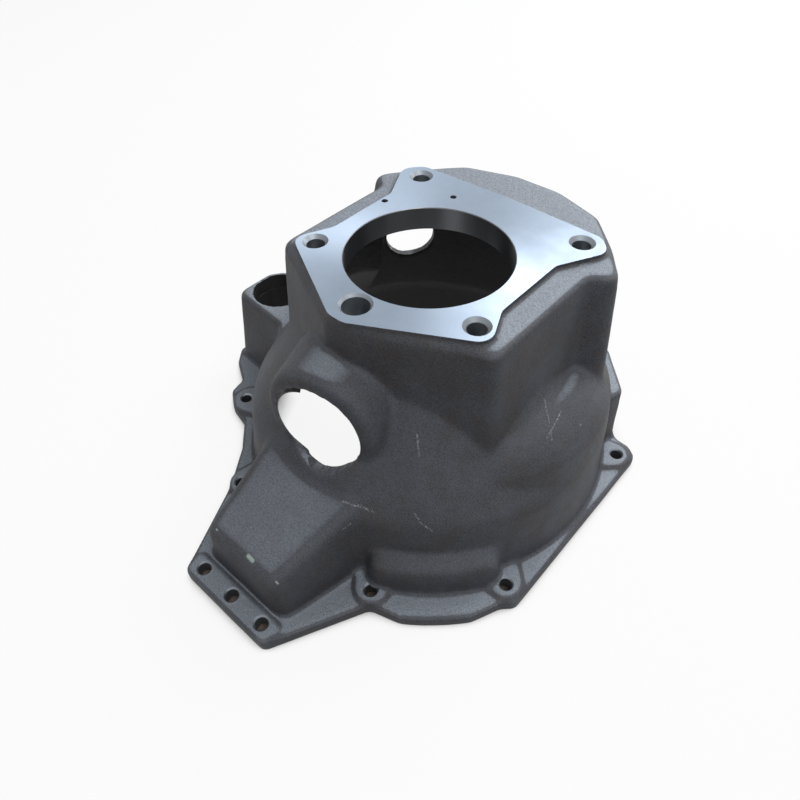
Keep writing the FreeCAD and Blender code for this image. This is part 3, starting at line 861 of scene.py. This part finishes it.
    # Painted shade inside, with some dark burnt sand: walls that face the crank axis and ceilings
    # are painted near black.
    outward = with_node(
        tree, "ShaderNodeVectorMath", {0: place, 1: (1.0, 1.0, 0.0)}, operation="MULTIPLY"
    )
    away = with_node(tree, "ShaderNodeVectorMath", {0: outward.outputs[0]}, operation="NORMALIZE")
    side = with_node(
        tree,
        "ShaderNodeVectorMath",
        {0: away.outputs[0], 1: facing.outputs["Normal"]},
        operation="DOT_PRODUCT",
    )
    inward = with_node(
        tree,
        "ShaderNodeMapRange",
        {"Value": side.outputs["Value"], "From Min": -0.1, "From Max": -0.5, "To Max": 0.85},
    )
    ceiling = with_node(
        tree,
        "ShaderNodeMapRange",
        {"Value": upward.outputs["Z"], "From Min": -0.3, "From Max": -0.7, "To Max": 0.85},
    )
    inside = with_node(
        tree,
        "ShaderNodeMath",
        {0: inward.outputs[0], 1: ceiling.outputs[0]},
        operation="MAXIMUM",
    )
    colour_mix = with_node(
        tree,
        "ShaderNodeMix",
        {0: inside.outputs[0], 6: chipped.outputs[2], 7: tuple(finish.inside_shade_and_sand)},
        data_type="RGBA",
    )
    tree.links.new(colour_mix.outputs[2], shader.inputs["Base Color"])
    roughness = with_node(
        tree,
        "ShaderNodeMapRange",
        {"Value": grains.outputs["Fac"], "To Min": 0.50, "To Max": 0.74},
    )
    tree.links.new(roughness.outputs[0], shader.inputs["Roughness"])
    # Oxide and the print of the sand hide most of the bare metal.
    shader.inputs["Metallic"].default_value = 0.25
    shader.inputs["Specular IOR Level"].default_value = 0.3
    # Wider pebbles under the grain.
    pebbles = with_node(
        tree,
        "ShaderNodeTexNoise",
        {"Vector": place, "Scale": 1 / PEBBLE_WIDTH, "Detail": 2.0, "Roughness": 0.5},
    )
    soft = with_node(
        tree,
        "ShaderNodeBump",
        {"Height": pebbles.outputs["Fac"], "Strength": 0.5, "Distance": PEBBLE_DEPTH},
    )
    fine = with_node(
        tree,
        "ShaderNodeBump",
        {
            "Height": grains.outputs["Fac"],
            "Strength": 0.65,
            "Distance": GRAIN_DEPTH,
            "Normal": soft.outputs[0],
        },
    )
    tree.links.new(fine.outputs[0], shader.inputs["Normal"])
    return material


def cut_metal(name, tint, roughness, spread, pitch, across):
    """Aluminium cut by a tool that went round the crank axis.

    The tool leaves fine rings, so the gloss is drawn out across them; across is True where
    the rings lie in a face and False where they climb a wall.
    """
    material, tree, shader = principled(name)
    place = with_node(tree, "ShaderNodeTexCoord").outputs["Object"]
    around = with_node(
        tree,
        "ShaderNodeVectorMath",
        {0: (0.0, 0.0, 1.0), 1: place},
        operation="CROSS_PRODUCT",
    )
    facing = with_node(tree, "ShaderNodeNewGeometry")
    way = with_node(
        tree,
        "ShaderNodeVectorMath",
        {0: facing.outputs["True Normal"], 1: around.outputs[0]},
        operation="CROSS_PRODUCT",
    )
    tree.links.new(way.outputs[0], shader.inputs["Tangent"])
    settings = {"rings_direction": "Z"} if across else {"bands_direction": "Z"}
    rings = with_node(
        tree,
        "ShaderNodeTexWave",
        {"Vector": place, "Scale": WAVE_REPEAT / pitch, "Distortion": 0.6, "Detail": 2.0},
        wave_type="RINGS" if across else "BANDS",
        **settings,
    )
    # On a wall the haze stands in upright bands.
    drawn_out = with_node(
        tree,
        "ShaderNodeMapping",
        {"Vector": place, "Scale": (1.0, 1.0, 1.0 if across else 0.05)},
    )
    haze = with_node(
        tree,
        "ShaderNodeTexNoise",
        {
            "Vector": drawn_out.outputs[0],
            "Scale": 1 / HAZE_WIDTH,
            "Detail": 4.0,
            "Roughness": 0.6,
        },
    )
    gloss = with_node(
        tree,
        "ShaderNodeMapRange",
        {
            "Value": haze.outputs["Fac"],
            "From Min": 0.3,
            "From Max": 0.7,
            "To Min": roughness - 0.05,
            "To Max": roughness + 0.07,
        },
    )
    tree.links.new(gloss.outputs[0], shader.inputs["Roughness"])
    dulled = (*(DULLED * value for value in tint[:3]), 1.0)
    colour_mix = with_node(
        tree,
        "ShaderNodeMix",
        {0: haze.outputs["Fac"], 6: tuple(tint), 7: dulled},
        data_type="RGBA",
    )
    tree.links.new(colour_mix.outputs[2], shader.inputs["Base Color"])
    grooves = with_node(
        tree,
        "ShaderNodeBump",
        {"Height": rings.outputs["Fac"], "Strength": 0.12, "Distance": GROOVE_DEPTH},
    )
    tree.links.new(grooves.outputs[0], shader.inputs["Normal"])
    shader.inputs["Metallic"].default_value = 1.0
    shader.inputs["Anisotropic"].default_value = spread
    return material


def floor_finish(tint, shade):
    """Matt paper floor: white to the eye and in reflections, yet it still takes the shadow.

    Close under the part it gets a painted shade as well.
    """
    material, tree, shader = principled("matt_white_paper")
    fibres = with_node(
        tree,
        "ShaderNodeTexNoise",
        {"Vector": with_node(tree, "ShaderNodeTexCoord").outputs["Object"], "Scale": 90.0},
    )
    pale = with_node(
        tree,
        "ShaderNodeMix",
        {0: fibres.outputs["Fac"], 6: tuple(tint), 7: tuple(0.97 * value for value in tint)},
        data_type="RGBA",
    )
    # Where the part stands close over the floor, a dark warm painted shade goes into its colour.
    nearby = with_node(tree, "ShaderNodeAmbientOcclusion", {"Distance": SHADE_REACH}, samples=8)
    open_share = with_node(
        tree,
        "ShaderNodeMapRange",
        {"Value": nearby.outputs["AO"], "From Min": 0.2, "From Max": 0.7},
    )
    painted_contact_shade = with_node(
        tree,
        "ShaderNodeMix",
        {0: open_share.outputs[0], 6: tuple(shade), 7: pale.outputs[2]},
        data_type="RGBA",
    )
    tree.links.new(painted_contact_shade.outputs[2], shader.inputs["Base Color"])
    shader.inputs["Roughness"].default_value = 0.9
    shader.inputs["Specular IOR Level"].default_value = 0.0
    # The glow is dimmed there too: painted shade, which also keeps the holes dark.
    lit = with_node(
        tree,
        "ShaderNodeMapRange",
        {"Value": nearby.outputs["AO"], "From Min": 0.3, "From Max": 0.75, "To Max": 0.9},
    )
    share = with_node(
        tree, "ShaderNodeMath", {0: seen_rays(tree), 1: lit.outputs[0]}, operation="MULTIPLY"
    )
    glow = with_node(tree, "ShaderNodeEmission", {"Strength": 1.0})
    mixed = with_node(
        tree,
        "ShaderNodeMixShader",
        {0: share.outputs[0], 1: shader.outputs[0], 2: glow.outputs[0]},
    )
    tree.links.new(mixed.outputs[0], tree.nodes["Material Output"].inputs["Surface"])
    return material


def seen_rays(tree):
    """Socket that is one for rays that show the background, and zero for rays that light."""
    path = with_node(tree, "ShaderNodeLightPath")
    glossy = with_node(
        tree,
        "ShaderNodeMath",
        {0: path.outputs["Is Camera Ray"], 1: path.outputs["Is Glossy Ray"]},
        operation="MAXIMUM",
    )
    both = with_node(
        tree,
        "ShaderNodeMath",
        {0: glossy.outputs[0], 1: path.outputs["Is Transmission Ray"]},
        operation="MAXIMUM",
    )
    return both.outputs[0]


def softbox(name, place, aim, width, power):
    """Square area light that looks at a point."""
    data = bpy.data.lights.new(name, "AREA")
    data.shape = "SQUARE"
    data.size = width
    data.energy = power
    lamp = linked(bpy.data.objects.new(name, data))
    lamp.location = place
    lamp.rotation_mode = "QUATERNION"
    lamp.rotation_quaternion = (Vector(aim) - Vector(place)).to_track_quat("-Z", "Y")
    return lamp


class MakeCasting(bpy.types.Operator):
    """Make the raw skin of the casting and machine its faces, bore and holes"""

    bl_idname = "bellhousing.make_casting"
    bl_label = "Make Casting"

    def execute(self, context):
        sizes = context.scene.bellhousing_casting
        finish = context.scene.bellhousing_finish
        finishes = {
            # The outer skin gets painted top light; the skin left by the cuts of openings and
            # rooms gets none.
            "cast": cast_skin("sand_cast_aluminium", finish, 1.0),
            "raw": cast_skin("cast_aluminium_without_top_light", finish, 0.0),
            "milled": cut_metal("milled_aluminium", finish.milled, 0.45, 0.8, 0.0012, True),
            "bored": cut_metal("bored_aluminium", finish.bored, 0.33, 0.5, 0.0008, False),
            "drilled": cut_metal("drilled_aluminium", finish.drilled, 0.5, 0.0, 0.0008, False),
        }
        piece = skinned(rough_casting(sizes), sizes)
        piece.data.materials.clear()
        piece.data.materials.append(finishes["cast"])
        machined(piece, sizes, finishes)
        shaded(piece)
        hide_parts(NODE)
        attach(piece, "root")
        return {"FINISHED"}


class MakeStage(bpy.types.Operator):
    """Lay the floor and set up the soft light, the background and the camera"""

    bl_idname = "bellhousing.make_stage"
    bl_label = "Make Stage"

    def execute(self, context):
        stage = context.scene.bellhousing_stage
        bm = bmesh.new()
        bmesh.ops.create_grid(
            bm,
            x_segments=1,
            y_segments=1,
            size=FLOOR_REACH,
            matrix=Matrix.Translation((0.0, 0.0, -FLOOR_GAP)),
        )
        floor = piece_from(bm, "floor")
        floor.data.materials.append(floor_finish(stage.floor_colour, stage.shade_colour))
        for name, place, width, power in LAMPS:
            softbox(name, place, LAMP_AIM, width, power)
        world = bpy.data.worlds.new("pale studio")
        context.scene.world = world
        world.use_nodes = True
        tree = world.node_tree
        level = with_node(
            tree,
            "ShaderNodeMapRange",
            {"Value": seen_rays(tree), "To Min": WORLD_LIGHT, "To Max": 1.0},
        )
        sky = tree.nodes["Background"]
        sky.inputs["Color"].default_value = (1.0, 1.0, 1.0, 1.0)
        tree.links.new(level.outputs[0], sky.inputs["Strength"])
        context.scene.view_settings.view_transform = "Standard"
        lens = bpy.data.cameras.new("camera")
        lens.lens = stage.lens
        lens.sensor_width = 36.0
        lens.clip_start = 0.01
        camera = linked(bpy.data.objects.new("camera", lens))
        place = Vector(stage.camera_place)
        camera.location = place
        camera.rotation_mode = "QUATERNION"
        sight = (Vector(stage.camera_aim) - place).to_track_quat("-Z", "Y")
        camera.rotation_quaternion = sight @ Quaternion((0.0, 0.0, 1.0), -stage.camera_roll)
        context.scene.camera = camera
        return {"FINISHED"}


class BellhousingPanel(bpy.types.Panel):
    """Sizes, colours and steps of the bellhousing"""

    bl_idname = "VIEW3D_PT_bellhousing"
    bl_label = "Bellhousing"
    bl_space_type = "VIEW_3D"
    bl_region_type = "UI"
    bl_category = "Bellhousing"

    def draw(self, context):
        scene = context.scene
        for title, group in SETTINGS.items():
            box = self.layout.box()
            box.label(text=title.capitalize())
            values = getattr(scene, "bellhousing_" + title)
            for name in group.__annotations__:
                box.prop(values, name)
        for operator in OPERATORS:
            self.layout.operator(operator.bl_idname)


SETTINGS = {"casting": CastingSettings, "finish": FinishSettings, "stage": StageSettings}
OPERATORS = (MakeCasting, MakeStage)


def register():
    """Register the classes and give the scene their settings."""
    for kind in (*SETTINGS.values(), *OPERATORS, BellhousingPanel):
        bpy.utils.register_class(kind)
    for name, group in SETTINGS.items():
        setattr(bpy.types.Scene, "bellhousing_" + name, bpy.props.PointerProperty(type=group))


def unregister():
    """Take the settings and the classes away again."""
    for name in SETTINGS:
        delattr(bpy.types.Scene, "bellhousing_" + name)
    for kind in (BellhousingPanel, *reversed(OPERATORS), *reversed(SETTINGS.values())):
        bpy.utils.unregister_class(kind)


def main():
    """Register the settings, and build the piece and its stage."""
    register()
    bpy.ops.bellhousing.make_casting()
    bpy.ops.bellhousing.make_stage()


if __name__ == "__main__":
    main()
